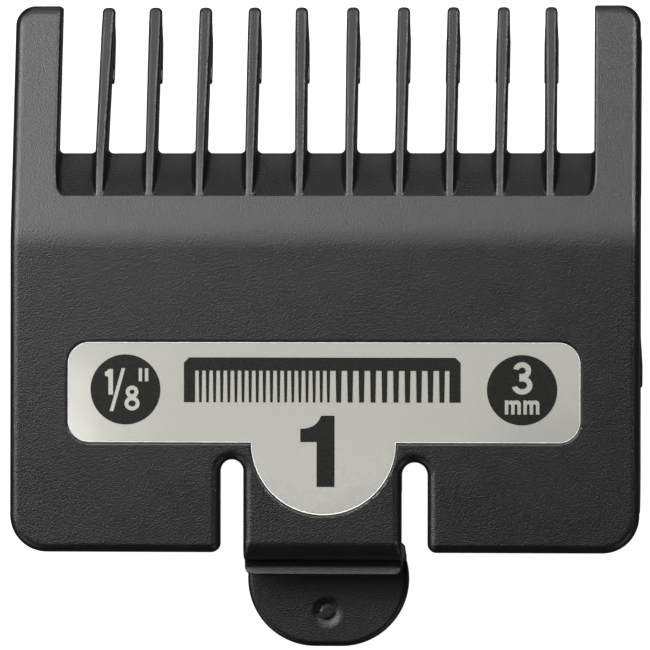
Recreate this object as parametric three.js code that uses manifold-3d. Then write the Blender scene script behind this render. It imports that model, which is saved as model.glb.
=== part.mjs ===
// Clipper guard comb, cutting length 3 mm (size 1, 1/8 inch), for a full-size hair clipper blade.
// Units are millimetres. X runs across the comb, +Y points to the tooth tips, +Z is the skin side.
// The comb lies on the rims of its two cheeks, and the origin is at the centre of its footprint.

import * as THREE from 'three';
import { mergeVertices } from 'three/addons/utils/BufferGeometryUtils.js';
import Module from 'manifold-3d';

const wasm = await Module();
wasm.setup();

// ---- driving dimensions -------------------------------------------------------------------------

const WIDTH = 48.0;            // across the cheek rims
const SIDE_DRAFT = 0.1;        // how far each side leans in between the rim and the face
const TIP_Y = 24.6;            // tooth tips
const REAR_Y = -17.15;         // rear edge of the body
const TAB_END_Y = -24.6;       // end of the thumb tab
const FACE_Z = 8.8;            // skin-side face of the body
const PLATE_T = 1.6;           // wall of the moulding

const BEND_Y = 6.6;            // where the face turns down towards the teeth
const BEND_HALF = 0.95;        // half length of the rounded bend
const NOSE_DROP = 4.6;         // how far the slope falls between the bend and the tips
const CREST_Y = 9.9;           // front edge of the slope between the teeth
const FLOOR_Y = 13.25;         // bottom of the gaps between the teeth
const FLOOR_EDGE = 0.3;        // thickness of the plate's front edge
const FIN_DEPTH = 2.35;        // skin side of a tooth to the blade that it rests on
const UNDERCUT_Y = 5.5;        // where the plate's underside starts to thicken
const UNDERCUT_END_Y = 8.2;

const TOOTH_COUNT = 10;
const TOOTH_PITCH = 3.8;
const TOOTH_W = 0.96;
const RIDGE_Y = 11.0;          // from here to its tip, a tooth's ridge falls more steeply
const RIDGE_FALL = 1.2;        // how far that takes its tip below the line of the slope
const RIDGE_EASE = 0.2;        // chamfer along both edges of a tooth's ridge
const HOOK_BACK_Y = 18.6;      // rear end of the hook under the tooth tip
const HOOK_GAP = 0.6;          // space for the tip of a blade tooth
const HOOK_T = 0.6;
const HOOK_NOSE = 4.6;         // solid wedge in front of the blade tip
const NOSE_T = 0.9;            // thickness of the wedge at its tip

const END_INNER_X = 20.45;     // inner face of the broad end teeth
const END_OUTER_R = 1.5;
const END_INNER_R = 0.4;

const CORNER_R = 2.8;          // rear corners of the body
const CHEEK_T = 1.5;
const CHEEK_REAR_Y = -14.4;
const CHEEK_REAR_R = 3.0;
const CHEEK_FLAT_FRONT_Y = 11.0;
const CHEEK_FRONT_Y = 21.6;

const GRIP_OUT = 0.15;         // shallow grip bump on the outside of each cheek
const GRIP_FRONT_Y = -0.4;
const GRIP_PEAK_Y = -2.9;
const GRIP_REAR_Y = -4.7;
const GRIP_LOW_Z = 1.2;
const GRIP_HIGH_Z = 4.6;

const RAIL_X = 14.5;
const RAIL_W = 1.2;
const RAIL_H = 0.7;
const RAIL_REAR_Y = -13.0;

const TONGUE_HALF = 5.95;      // half width of the latch tongue
const SLOT_W = 2.0;
const SLOT_ROOT_Y = -10.2;
const MOUTH_R = 0.7;           // rounded corners at the mouths of the slots
const HINGE_Y = -14.8;         // line that the tongue bends about
const HINGE_GAP = 0.3;
const ELBOW_Y = -16.3;         // where the tongue turns down behind the blade
const RISER_OUTER_Y = -17.75;
const RISER_INNER_Y = -16.6;

const LIP_Z = 6.35;            // nail lip where it leaves the riser
const LIP_RISE = 0.3;
const LIP_OUT = 1.2;
const LIP_T = 1.0;
const LIP_CORNER_R = 0.7;

const TAB_TOP_Z = 1.9;
const TAB_T = 1.4;
const TAB_R = 5.2;
const TAB_FLAT_HALF = 1.0;     // half the straight length between the tab's two arcs
const TAB_FRONT_Y = -15.4;     // front edge of the catch, under the blade's heel
const TAB_EASE = 0.25;
const DIMPLE_Y = -21.98;
const DIMPLE_R = 1.05;
const DIMPLE_DEPTH = 0.45;

const BADGE_HALF = 19.45;
const BADGE_TOP_Y = -1.2;
const BADGE_BOTTOM_Y = -8.8;
const BADGE_CORNER_R = 1.65;
const BADGE_LOBE_R = 5.5;      // round lobe under the middle of the badge
const RECESS_CLEARANCE = 0.1;
const RECESS_DEPTH = 0.45;
const ADHESIVE_T = 0.1;
const BADGE_T = 0.3;
const INK_T = 0.05;

const ROUNDEL_X = 15.05;
const ROUNDEL_Y = -4.79;
const ROUNDEL_R = 2.66;
const NUMERAL_RIGHT = 0.85;    // printed numeral: its stem, flag and foot
const NUMERAL_STEM_W = 1.36;
const NUMERAL_FLAG_W = 1.24;
const NUMERAL_TOP_Y = -6.75;
const NUMERAL_FOOT_Y = -12.15;
const NUMERAL_FLAG_Y = -7.75;
const NUMERAL_FLAG_T = 1.0;

const CONTACT = 0.05;          // gap between pieces that meet on a slanted face
const ARC_STEPS = 12;

const NOSE_SLOPE = NOSE_DROP / (TIP_Y - BEND_Y);
const RIDGE_SLOPE = NOSE_SLOPE + RIDGE_FALL / (TIP_Y - RIDGE_Y);
const PLATE_BOTTOM_Z = FACE_Z - PLATE_T;
const RECESS_Z = FACE_Z - RECESS_DEPTH;
const BADGE_Z = RECESS_Z + ADHESIVE_T;
const INK_Z = BADGE_Z + BADGE_T;
const OUTER_X = WIDTH / 2;
const SLOT_OUTER_X = TONGUE_HALF + SLOT_W;
const SLOT_R = SLOT_W / 2;

// ---- materials ----------------------------------------------------------------------------------

const material = (color, roughness, metalness) =>
  new THREE.MeshStandardMaterial({ color, roughness, metalness });

const PLASTIC = material(0x2a2a2c, 0.5, 0);
const METAL = material(0xcdccc4, 0.32, 1);
const FILM = material(0xe8e6df, 0.6, 0);
const INK = material(0x1c1c1b, 0.45, 0);

// ---- solids -------------------------------------------------------------------------------------

function toSolid(geometry) {
  const bare = geometry.clone();
  bare.deleteAttribute('normal');
  bare.deleteAttribute('uv');
  const merged = mergeVertices(bare);
  return new wasm.Manifold(new wasm.Mesh({
    numProp: 3,
    vertProperties: new Float32Array(merged.attributes.position.array),
    triVerts: new Uint32Array(merged.index.array),
  }));
}

function toGeometry(solid) {
  const mesh = solid.getMesh();
  const geometry = new THREE.BufferGeometry();
  geometry.setAttribute('position', new THREE.BufferAttribute(mesh.vertProperties, 3));
  geometry.setIndex(new THREE.BufferAttribute(mesh.triVerts, 1));
  return geometry;
}

// A plan outline, drawn in X and Y, raised from lowZ to highZ.
function plan(shape, lowZ, highZ) {
  const options = { depth: highZ - lowZ, bevelEnabled: false, curveSegments: ARC_STEPS };
  const geometry = new THREE.ExtrudeGeometry(shape, options);
  geometry.translate(0, 0, lowZ);
  return toSolid(geometry);
}

// A side profile, drawn in Y and Z, drawn out from lowX to highX.
function profile(shape, lowX, highX) {
  const options = { depth: highX - lowX, bevelEnabled: false, curveSegments: ARC_STEPS };
  const geometry = new THREE.ExtrudeGeometry(shape, options);
  const axes = new THREE.Matrix4().makeBasis(
    new THREE.Vector3(0, 1, 0),
    new THREE.Vector3(0, 0, 1),
    new THREE.Vector3(1, 0, 0),
  );
  geometry.applyMatrix4(axes);
  geometry.translate(lowX, 0, 0);
  return toSolid(geometry);
}

function outline(points) {
  return new THREE.Shape(points.map(([a, b]) => new THREE.Vector2(a, b)));
}

// The body's sides lean in towards the face, by an amount that grows with height.
function leanSides(geometry) {
  const start = OUTER_X - CORNER_R;
  const position = geometry.attributes.position;
  for (let i = 0; i < position.count; i += 1) {
    const x = position.getX(i);
    const share = Math.max(0, (Math.abs(x) - start) / CORNER_R);
    const inward = share * SIDE_DRAFT * (position.getZ(i) / FACE_Z);
    position.setX(i, x - Math.sign(x) * inward);
  }
  return geometry;
}

// ---- side profiles ------------------------------------------------------------------------------

const ridgeZ = (y) => FACE_Z - NOSE_SLOPE * (y - BEND_Y);
const bladeZ = (y) => ridgeZ(y) - FIN_DEPTH;
const toothTopZ = (y) => ridgeZ(RIDGE_Y) - RIDGE_SLOPE * (y - RIDGE_Y);

// Skin-side points of the rounded bend: a parabola that meets the face and the slope smoothly.
function bendPoints() {
  const points = [];
  const steps = 6;
  for (let i = 0; i <= steps; i += 1) {
    const along = (i / steps) * 2 * BEND_HALF;
    points.push([BEND_Y - BEND_HALF + along, FACE_Z - (NOSE_SLOPE * along * along) / (4 * BEND_HALF)]);
  }
  return points;
}

// The underside of the plate, from the front edge of the gaps back to the rear edge.
function undersidePoints() {
  return [
    [FLOOR_Y, bladeZ(FLOOR_Y)],
    [UNDERCUT_END_Y, bladeZ(UNDERCUT_END_Y)],
    [UNDERCUT_Y, PLATE_BOTTOM_Z],
  ];
}

function plateProfile() {
  return outline([
    [REAR_Y, PLATE_BOTTOM_Z],
    [REAR_Y, FACE_Z],
    ...bendPoints(),
    [CREST_Y, ridgeZ(CREST_Y)],
    [FLOOR_Y, bladeZ(FLOOR_Y) + FLOOR_EDGE],
    ...undersidePoints(),
  ].reverse());
}

// The root of a tooth, lying along the step face between the crest and the gap floor.
function rootPoints() {
  return [
    [FLOOR_Y + CONTACT, bladeZ(FLOOR_Y)],
    [FLOOR_Y + CONTACT, bladeZ(FLOOR_Y) + FLOOR_EDGE],
    [CREST_Y + CONTACT, ridgeZ(CREST_Y)],
  ];
}

// A tooth's side view: ridge, a nose that tapers to a round tip, and the hook under the blade tip.
function toothProfile() {
  const tipR = NOSE_T / 2;
  const hookTop = (y) => bladeZ(y) - HOOK_GAP;
  const hookLow = (y) => hookTop(y) - HOOK_T;
  const pocketY = TIP_Y - HOOK_NOSE;
  const hookR = HOOK_T / 2;
  const shape = new THREE.Shape();
  const [first, ...rest] = rootPoints();
  shape.moveTo(...first);
  rest.forEach((point) => shape.lineTo(...point));
  shape.lineTo(RIDGE_Y, ridgeZ(RIDGE_Y));
  shape.lineTo(TIP_Y - tipR, toothTopZ(TIP_Y - tipR));
  shape.quadraticCurveTo(TIP_Y, toothTopZ(TIP_Y), TIP_Y, toothTopZ(TIP_Y) - tipR);
  shape.quadraticCurveTo(TIP_Y, toothTopZ(TIP_Y) - NOSE_T, TIP_Y - tipR, toothTopZ(TIP_Y - tipR) - NOSE_T);
  shape.lineTo(pocketY + hookR, hookLow(pocketY + hookR) + hookR / 2);
  shape.quadraticCurveTo(pocketY, hookLow(pocketY), pocketY - hookR, hookLow(pocketY - hookR));
  shape.lineTo(HOOK_BACK_Y + hookR, hookLow(HOOK_BACK_Y + hookR));
  shape.quadraticCurveTo(
    HOOK_BACK_Y,
    hookLow(HOOK_BACK_Y) + hookR,
    HOOK_BACK_Y + hookR,
    hookTop(HOOK_BACK_Y + hookR),
  );
  shape.lineTo(pocketY, hookTop(pocketY));
  shape.lineTo(pocketY, bladeZ(pocketY));
  return shape;
}

// A broad end tooth has no hook: the cheek below it carries the side of the blade.
function endToothProfile() {
  const noseR = 1.1;
  const shape = new THREE.Shape();
  const [first, ...rest] = rootPoints();
  shape.moveTo(...first);
  rest.forEach((point) => shape.lineTo(...point));
  shape.lineTo(TIP_Y - noseR, ridgeZ(TIP_Y - noseR));
  shape.quadraticCurveTo(TIP_Y, ridgeZ(TIP_Y), TIP_Y, ridgeZ(TIP_Y) - noseR);
  shape.lineTo(TIP_Y, bladeZ(TIP_Y));
  return shape;
}

// A cheek hangs from the plate and the end tooth, flat along its rim and swept up at both ends.
function cheekProfile() {
  const shape = new THREE.Shape();
  shape.moveTo(CHEEK_REAR_Y + CHEEK_REAR_R, 0);
  shape.lineTo(CHEEK_FLAT_FRONT_Y, 0);
  shape.quadraticCurveTo(CHEEK_FRONT_Y - 3, 0, CHEEK_FRONT_Y, bladeZ(CHEEK_FRONT_Y) - CONTACT);
  shape.lineTo(FLOOR_Y, bladeZ(FLOOR_Y) - CONTACT);
  shape.lineTo(UNDERCUT_END_Y, bladeZ(UNDERCUT_END_Y) - CONTACT);
  shape.lineTo(UNDERCUT_Y, PLATE_BOTTOM_Z - CONTACT);
  shape.lineTo(CHEEK_REAR_Y, PLATE_BOTTOM_Z - CONTACT);
  shape.absarc(CHEEK_REAR_Y + CHEEK_REAR_R, CHEEK_REAR_R, CHEEK_REAR_R, Math.PI, 1.5 * Math.PI);
  return shape;
}

// ---- plan outlines ------------------------------------------------------------------------------

// Body outline: rounded rear corners, two slots, and the stub that the latch tongue grows from.
function bodyOutline() {
  const front = FLOOR_Y + 1;
  const slotTurnY = SLOT_ROOT_Y - SLOT_R;
  const slotMidX = TONGUE_HALF + SLOT_R;
  const stubY = HINGE_Y + HINGE_GAP / 2;
  const shape = new THREE.Shape();
  shape.moveTo(-OUTER_X, front);
  shape.lineTo(-OUTER_X, REAR_Y + CORNER_R);
  shape.absarc(-OUTER_X + CORNER_R, REAR_Y + CORNER_R, CORNER_R, Math.PI, 1.5 * Math.PI);
  shape.absarc(-SLOT_OUTER_X - MOUTH_R, REAR_Y + MOUTH_R, MOUTH_R, 1.5 * Math.PI, 2 * Math.PI);
  shape.absarc(-slotMidX, slotTurnY, SLOT_R, Math.PI, 0, true);
  shape.lineTo(-TONGUE_HALF, stubY);
  shape.lineTo(TONGUE_HALF, stubY);
  shape.absarc(slotMidX, slotTurnY, SLOT_R, Math.PI, 0, true);
  shape.absarc(SLOT_OUTER_X + MOUTH_R, REAR_Y + MOUTH_R, MOUTH_R, Math.PI, 1.5 * Math.PI);
  shape.absarc(OUTER_X - CORNER_R, REAR_Y + CORNER_R, CORNER_R, 1.5 * Math.PI, 2 * Math.PI);
  shape.lineTo(OUTER_X, front);
  return shape;
}

// Badge outline: a rounded bar with a half-round lobe below its middle, grown by margin all round.
function badgeOutline(margin) {
  const half = BADGE_HALF + margin;
  const top = BADGE_TOP_Y + margin;
  const bottom = BADGE_BOTTOM_Y - margin;
  const r = BADGE_CORNER_R + margin;
  const lobe = BADGE_LOBE_R + margin;
  const shape = new THREE.Shape();
  shape.absarc(-half + r, top - r, r, Math.PI / 2, Math.PI);
  shape.absarc(-half + r, bottom + r, r, Math.PI, 1.5 * Math.PI);
  shape.absarc(0, bottom, lobe, Math.PI, 2 * Math.PI);
  shape.absarc(half - r, bottom + r, r, 1.5 * Math.PI, 2 * Math.PI);
  shape.absarc(half - r, top - r, r, 0, Math.PI / 2);
  return shape;
}

// Thumb tab outline: two arcs joined by a short straight, cut square at the catch's front edge.
function tabOutline(margin) {
  const r = TAB_R - margin;
  const centreY = TAB_END_Y + TAB_R;
  const frontY = TAB_FRONT_Y - margin;
  const turn = Math.asin((frontY - centreY) / r);
  const shape = new THREE.Shape();
  shape.absarc(-TAB_FLAT_HALF, centreY, r, Math.PI - turn, 1.5 * Math.PI);
  shape.absarc(TAB_FLAT_HALF, centreY, r, 1.5 * Math.PI, 2 * Math.PI + turn);
  return shape;
}

// End tooth outline on the +X side.
function endToothOutline() {
  const back = CREST_Y - 1;
  const shape = new THREE.Shape();
  shape.moveTo(END_INNER_X, back);
  shape.lineTo(OUTER_X, back);
  shape.absarc(OUTER_X - END_OUTER_R, TIP_Y - END_OUTER_R, END_OUTER_R, 0, Math.PI / 2);
  shape.absarc(END_INNER_X + END_INNER_R, TIP_Y - END_INNER_R, END_INNER_R, Math.PI / 2, Math.PI);
  return shape;
}

// Grip bump on the outside of the +X cheek: a long ramp, a short flat and a steep rear end.
function gripOutline() {
  const peakX = OUTER_X + GRIP_OUT;
  return outline([
    [OUTER_X - CHEEK_T / 2, GRIP_REAR_Y],
    [OUTER_X, GRIP_REAR_Y],
    [peakX, GRIP_REAR_Y + GRIP_OUT],
    [peakX, GRIP_PEAK_Y],
    [OUTER_X, GRIP_FRONT_Y],
    [OUTER_X - CHEEK_T / 2, GRIP_FRONT_Y],
  ]);
}

// Lip outline: full tongue width, with its two outer corners rounded.
function lipOutline() {
  const outerY = RISER_OUTER_Y - LIP_OUT;
  const shape = new THREE.Shape();
  shape.moveTo(TONGUE_HALF, RISER_OUTER_Y);
  shape.lineTo(-TONGUE_HALF, RISER_OUTER_Y);
  shape.absarc(-TONGUE_HALF + LIP_CORNER_R, outerY + LIP_CORNER_R, LIP_CORNER_R, Math.PI, 1.5 * Math.PI);
  shape.absarc(TONGUE_HALF - LIP_CORNER_R, outerY + LIP_CORNER_R, LIP_CORNER_R, 1.5 * Math.PI, 2 * Math.PI);
  return shape;
}

// Printed numeral 1: a stem with a flag on its left.
function numeralOutline() {
  const stemLeft = NUMERAL_RIGHT - NUMERAL_STEM_W;
  const flagLeft = stemLeft - NUMERAL_FLAG_W;
  const shape = new THREE.Shape();
  shape.moveTo(NUMERAL_RIGHT, NUMERAL_TOP_Y);
  shape.lineTo(NUMERAL_RIGHT, NUMERAL_FOOT_Y);
  shape.lineTo(stemLeft, NUMERAL_FOOT_Y);
  shape.lineTo(stemLeft, NUMERAL_FLAG_Y - NUMERAL_FLAG_T);
  shape.lineTo(flagLeft, NUMERAL_FLAG_Y - NUMERAL_FLAG_T);
  shape.lineTo(flagLeft, NUMERAL_FLAG_Y);
  shape.quadraticCurveTo(stemLeft, NUMERAL_FLAG_Y, stemLeft + NUMERAL_STEM_W / 4, NUMERAL_TOP_Y);
  return shape;
}

// ---- sub-parts ----------------------------------------------------------------------------------

const comb = new THREE.Group();

function add(name, geometry, surface) {
  const mesh = new THREE.Mesh(geometry, surface);
  mesh.name = name;
  comb.add(mesh);
}

function facePlate() {
  const slab = profile(plateProfile(), -OUTER_X, OUTER_X);
  const cut = slab.intersect(plan(bodyOutline(), 0, FACE_Z + 1));
  const recess = plan(badgeOutline(RECESS_CLEARANCE), RECESS_Z, FACE_Z + 1);
  return leanSides(toGeometry(cut.subtract(recess)));
}

function endTooth(side) {
  const inner = END_INNER_X - 1;
  const bar = profile(endToothProfile(), inner, OUTER_X + 1);
  const geometry = toGeometry(bar.intersect(plan(endToothOutline(), 0, FACE_Z + 1)));
  return leanSides(side < 0 ? mirrored(geometry) : geometry);
}

function cheek(side) {
  const wall = profile(cheekProfile(), OUTER_X - CHEEK_T, OUTER_X);
  const geometry = toGeometry(wall.add(plan(gripOutline(), GRIP_LOW_Z, GRIP_HIGH_Z)));
  return leanSides(side < 0 ? mirrored(geometry) : geometry);
}

// A copy reflected across X = 0, with its faces turned round so that they still point out.
function mirrored(geometry) {
  const copy = geometry.clone();
  copy.scale(-1, 1, 1);
  const order = copy.index.array;
  for (let i = 0; i < order.length; i += 3) {
    [order[i], order[i + 1]] = [order[i + 1], order[i]];
  }
  return copy;
}

// A tooth is flat sided, with both edges of its ridge eased all along.
function tooth(centreX) {
  const bar = profile(toothProfile(), centreX - TOOTH_W / 2, centreX + TOOTH_W / 2);
  const root = alongSlope(easedSection(ridgeZ(CREST_Y)), centreX, NOSE_SLOPE);
  const nose = alongSlope(easedSection(toothTopZ(CREST_Y)), centreX, RIDGE_SLOPE);
  return toGeometry(bar.intersect(root).intersect(nose));
}

// A tooth's section at the crest line, with its top edges eased. It runs on above the ridge.
function easedSection(topZ) {
  const half = TOOTH_W / 2;
  const above = topZ + 1;
  return outline([
    [-half, -1],
    [half, -1],
    [half, topZ - RIDGE_EASE],
    [half - RIDGE_EASE, topZ],
    [half - RIDGE_EASE, above],
    [-half + RIDGE_EASE, above],
    [-half + RIDGE_EASE, topZ],
    [-half, topZ - RIDGE_EASE],
  ]);
}

// Draws a section in X and Z out along a slope, from the crest line to the tooth tips.
function alongSlope(section, centreX, slope) {
  const length = TIP_Y - CREST_Y + 2;
  const geometry = new THREE.ExtrudeGeometry(section, { depth: length, bevelEnabled: false });
  const axes = new THREE.Matrix4().makeBasis(
    new THREE.Vector3(1, 0, 0),
    new THREE.Vector3(0, 0, 1),
    new THREE.Vector3(0, -1, 0),
  );
  geometry.applyMatrix4(axes);
  const shear = new THREE.Matrix4().set(
    1, 0, 0, centreX,
    0, 1, 0, CREST_Y + length - 1,
    0, -slope, 1, -slope * (length - 1),
    0, 0, 0, 1,
  );
  geometry.applyMatrix4(shear);
  return toSolid(geometry);
}

function bladeRail(side) {
  const low = side * RAIL_X - RAIL_W / 2;
  const shape = outline([
    [RAIL_REAR_Y, PLATE_BOTTOM_Z],
    [RAIL_REAR_Y + RAIL_H, PLATE_BOTTOM_Z - RAIL_H],
    [UNDERCUT_Y - RAIL_H, PLATE_BOTTOM_Z - RAIL_H],
    [UNDERCUT_Y, PLATE_BOTTOM_Z],
  ]);
  return toGeometry(profile(shape, low, low + RAIL_W));
}

function latchTongue() {
  const shape = outline([
    [ELBOW_Y, PLATE_BOTTOM_Z],
    [HINGE_Y - HINGE_GAP / 2, PLATE_BOTTOM_Z],
    [HINGE_Y - HINGE_GAP / 2, FACE_Z],
    [ELBOW_Y, FACE_Z],
  ]);
  return toGeometry(profile(shape, -TONGUE_HALF, TONGUE_HALF));
}

// The tongue turns down behind the blade's heel in a rounded elbow and runs to the thumb tab.
function latchRiser() {
  const bendR = ELBOW_Y - RISER_OUTER_Y;
  const shape = new THREE.Shape();
  shape.moveTo(ELBOW_Y, FACE_Z);
  shape.absarc(ELBOW_Y, FACE_Z - bendR, bendR, Math.PI / 2, Math.PI);
  shape.lineTo(RISER_OUTER_Y, TAB_TOP_Z);
  shape.lineTo(RISER_INNER_Y, TAB_TOP_Z);
  shape.lineTo(RISER_INNER_Y, PLATE_BOTTOM_Z);
  shape.lineTo(ELBOW_Y, PLATE_BOTTOM_Z);
  return toGeometry(profile(shape, -TONGUE_HALF, TONGUE_HALF));
}

function nailLip() {
  const outerY = RISER_OUTER_Y - LIP_OUT;
  const shape = outline([
    [RISER_OUTER_Y, LIP_Z],
    [outerY, LIP_Z + LIP_RISE],
    [outerY, LIP_Z + LIP_RISE - LIP_T / 2],
    [RISER_OUTER_Y, LIP_Z - LIP_T],
  ]);
  const bar = profile(shape, -TONGUE_HALF, TONGUE_HALF);
  return toGeometry(bar.intersect(plan(lipOutline(), 0, FACE_Z)));
}

// The round plate behind the riser: catch in front of it, thumb tab behind it.
function thumbTab() {
  const low = TAB_TOP_Z - TAB_T;
  const middle = plan(tabOutline(0), low + TAB_EASE, TAB_TOP_Z - TAB_EASE);
  const full = plan(tabOutline(TAB_EASE), low, TAB_TOP_Z);
  const dimple = new THREE.CylinderGeometry(DIMPLE_R, DIMPLE_R * 0.8, DIMPLE_DEPTH * 2, 2 * ARC_STEPS);
  dimple.rotateX(Math.PI / 2);
  dimple.translate(0, DIMPLE_Y, TAB_TOP_Z);
  return toGeometry(middle.add(full).subtract(toSolid(dimple)));
}

function roundel(side) {
  const disc = new THREE.Shape();
  disc.absarc(side * ROUNDEL_X, ROUNDEL_Y, ROUNDEL_R, 0, 2 * Math.PI);
  const options = { depth: INK_T, bevelEnabled: false, curveSegments: 2 * ARC_STEPS };
  const geometry = new THREE.ExtrudeGeometry(disc, options);
  geometry.translate(0, 0, INK_Z);
  return toGeometry(toSolid(geometry));
}

add('face_plate', facePlate(), PLASTIC);
add('left_cheek', cheek(-1), PLASTIC);
add('right_cheek', cheek(1), PLASTIC);
add('left_end_tooth', endTooth(-1), PLASTIC);
add('right_end_tooth', endTooth(1), PLASTIC);
for (let i = 0; i < TOOTH_COUNT; i += 1) {
  const centreX = (i - (TOOTH_COUNT - 1) / 2) * TOOTH_PITCH;
  add(`tooth_${String(i + 1).padStart(2, '0')}`, tooth(centreX), PLASTIC);
}
add('left_blade_rail', bladeRail(-1), PLASTIC);
add('right_blade_rail', bladeRail(1), PLASTIC);
add('latch_tongue', latchTongue(), PLASTIC);
add('latch_riser', latchRiser(), PLASTIC);
add('nail_lip', nailLip(), PLASTIC);
add('thumb_tab', thumbTab(), PLASTIC);
add('badge_adhesive', toGeometry(plan(badgeOutline(-RECESS_CLEARANCE), RECESS_Z, BADGE_Z)), FILM);
add('badge_plate', toGeometry(plan(badgeOutline(0), BADGE_Z, INK_Z)), METAL);
add('left_roundel', roundel(-1), INK);
add('right_roundel', roundel(1), INK);
add('size_numeral', toGeometry(plan(numeralOutline(), INK_Z, INK_Z + INK_T)), INK);

export default comb;
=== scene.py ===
"""Clipper guard comb, size 1, on a pale floor, seen from its skin side.

Shapes are worked out in millimetres in the frame's axes, and turned to metres as each mesh is made.
The moulding is one field of signed distances, meshed once and then parted into its pieces.
"""

import math

import bmesh
import bpy
import numpy as np
from mathutils import Matrix, Vector


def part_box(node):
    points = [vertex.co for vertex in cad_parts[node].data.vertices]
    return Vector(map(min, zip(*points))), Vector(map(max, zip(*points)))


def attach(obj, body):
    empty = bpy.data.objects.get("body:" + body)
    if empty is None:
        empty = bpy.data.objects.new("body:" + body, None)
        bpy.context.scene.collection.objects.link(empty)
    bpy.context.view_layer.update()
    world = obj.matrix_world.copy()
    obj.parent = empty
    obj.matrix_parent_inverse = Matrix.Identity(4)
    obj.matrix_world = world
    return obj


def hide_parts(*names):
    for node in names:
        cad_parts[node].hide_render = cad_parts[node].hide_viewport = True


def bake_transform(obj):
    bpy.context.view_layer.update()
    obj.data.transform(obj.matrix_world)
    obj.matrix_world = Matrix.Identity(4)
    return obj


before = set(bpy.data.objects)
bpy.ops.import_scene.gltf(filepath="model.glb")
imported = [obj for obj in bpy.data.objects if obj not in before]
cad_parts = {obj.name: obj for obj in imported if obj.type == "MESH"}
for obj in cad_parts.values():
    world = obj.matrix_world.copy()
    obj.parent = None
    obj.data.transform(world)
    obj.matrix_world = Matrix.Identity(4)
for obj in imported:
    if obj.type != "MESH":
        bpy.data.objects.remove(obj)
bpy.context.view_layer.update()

BODY, LATCH = "comb_body", "latch"
MM = 0.001


def box_mm(node):
    """Lowest and highest corner of a CAD node, in millimetres."""
    low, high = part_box(node)
    return low / MM, high / MM


# ---- sizes, taken from the frame ------------------------------------------------------------------

plate_low, plate_high = box_mm("face_plate")
cheek_low, cheek_high = box_mm("right_cheek")
end_low, end_high = box_mm("right_end_tooth")
tongue_low, tongue_high = box_mm("latch_tongue")
riser_low, _ = box_mm("latch_riser")
lip_low, lip_high = box_mm("nail_lip")
tab_low, tab_high = box_mm("thumb_tab")
rail_low, rail_high = box_mm("right_blade_rail")
badge_low, badge_high = box_mm("badge_plate")
film_low, _ = box_mm("badge_adhesive")
ink_low, ink_high = box_mm("size_numeral")
roundel_low, roundel_high = box_mm("right_roundel")

TEETH = [f"tooth_{i:02d}" for i in range(1, 11)]
TOOTH_X = [sum(v.x for v in box_mm(name)) / 2 for name in TEETH]
TOOTH_PITCH = (TOOTH_X[-1] - TOOTH_X[0]) / (len(TEETH) - 1)

FACE_Z = plate_high.z
WALL_T = FACE_Z - tongue_low.z
UNDER_Z = FACE_Z - WALL_T
REAR_Y = plate_low.y
FLOOR_Y = plate_high.y
TIP_Y = end_high.y
END_INNER_X = end_low.x
ELBOW_Y = tongue_low.y
RISER_Y = riser_low.y

# ---- sizes that the boxes don't give --------------------------------------------------------------

SIDE_DRAFT = 0.1
BEND_Y, BEND_HALF = 6.95, 1.1
NOSE_SLOPE = 4.6 / (TIP_Y - BEND_Y)
SLOPE_COS = 1 / math.hypot(1, NOSE_SLOPE)
CREST_Y = 9.9
RIDGE_Y, RIDGE_FALL, RIDGE_EASE = 11.0, 1.2, 0.4
FLOOR_EDGE = 0.3
FIN_DEPTH = 2.35
UNDERCUT_Y, UNDERCUT_END_Y = 5.5, 8.2
CORNER_R = 2.8
EDGE_R = 0.68
END_OUTER_R = 1.5

CHEEK_T = 1.5
CHEEK_END_R = 3.0
CHEEK_SWEEP_Y, CHEEK_SWEEP_LEAD = 11.0, 3.0
GRIP_OUT, GRIP_FRONT_Y, GRIP_PEAK_Y, GRIP_REAR_Y = 0.15, -0.4, -2.9, -4.7
GRIP_LOW_Z, GRIP_HIGH_Z = 1.2, 4.6
OUTER_X = cheek_high.x - GRIP_OUT + SIDE_DRAFT * GRIP_LOW_Z / FACE_Z

HOOK_BACK_Y, HOOK_GAP, HOOK_T, POCKET_Y, NOSE_T = 18.6, 0.6, 0.6, 20.0, 0.9
TOOTH_CREST_W, TOOTH_TIP_W, TOOTH_BASE_W, HOOK_W = 0.64, 0.93, 0.96, 1.1
TOOTH_EDGE_R = 0.12
# Fillet at the foot of a tooth: at the crest, how much it grows, and over what length.
ROOT_R, ROOT_R_GAIN, ROOT_R_RUN = 0.04, 0.36, 1.2
CROWN_HALF, CROWN_TIP_HALF, CROWN_SLOPE = 0.14, 0.24, 0.45
TOOTH_SPREAD, TOOTH_SHIFT = 1.003, -0.03
# How far each tooth's tip leans off its root, towards +X, from left to right.
TOOTH_LEAN = [0.28, 0.07, 0.12, 0.08, -0.12, 0.03, 0.12, 0.12, 0.16, 0.0]

SLOT_W, SLOT_ROOT_Y, MOUTH_R = 2.0, -10.2, 0.7
SLOT_OUTER_X = tongue_high.x + SLOT_W - 0.07
TONGUE_HALF, TONGUE_SHIFT = tongue_high.x + 0.07, -0.1
RISER_INNER_Y = RISER_Y + 1.15
LIP_RISE, LIP_CORNER_R, LIP_FILLET_R = 0.38, 0.7, 0.8
TAB_R, TAB_FLAT_HALF = 5.2, 1.0
DIMPLE_X, DIMPLE_Y, DIMPLE_R, DIMPLE_DEPTH, DIMPLE_SLOPE = -0.06, -21.98, 1.02, 0.14, 0.45
BUTTON_R, BUTTON_SUNK = 0.5, 0.08
STUB_END_Y = SLOT_ROOT_Y - 2.3

BADGE_CORNER_R, BADGE_LOBE_R, BADGE_BAR_Y = 1.65, 5.5, -8.8
BADGE_RIM = 0.06
RECESS_CLEARANCE = 0.06
NUMERAL_STEM_W, NUMERAL_FLAG_Y, NUMERAL_FLAG_T = 1.36, -7.75, 1.0

COARSE_STEP, QUICK_STEP = 0.4, 0.8

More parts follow.
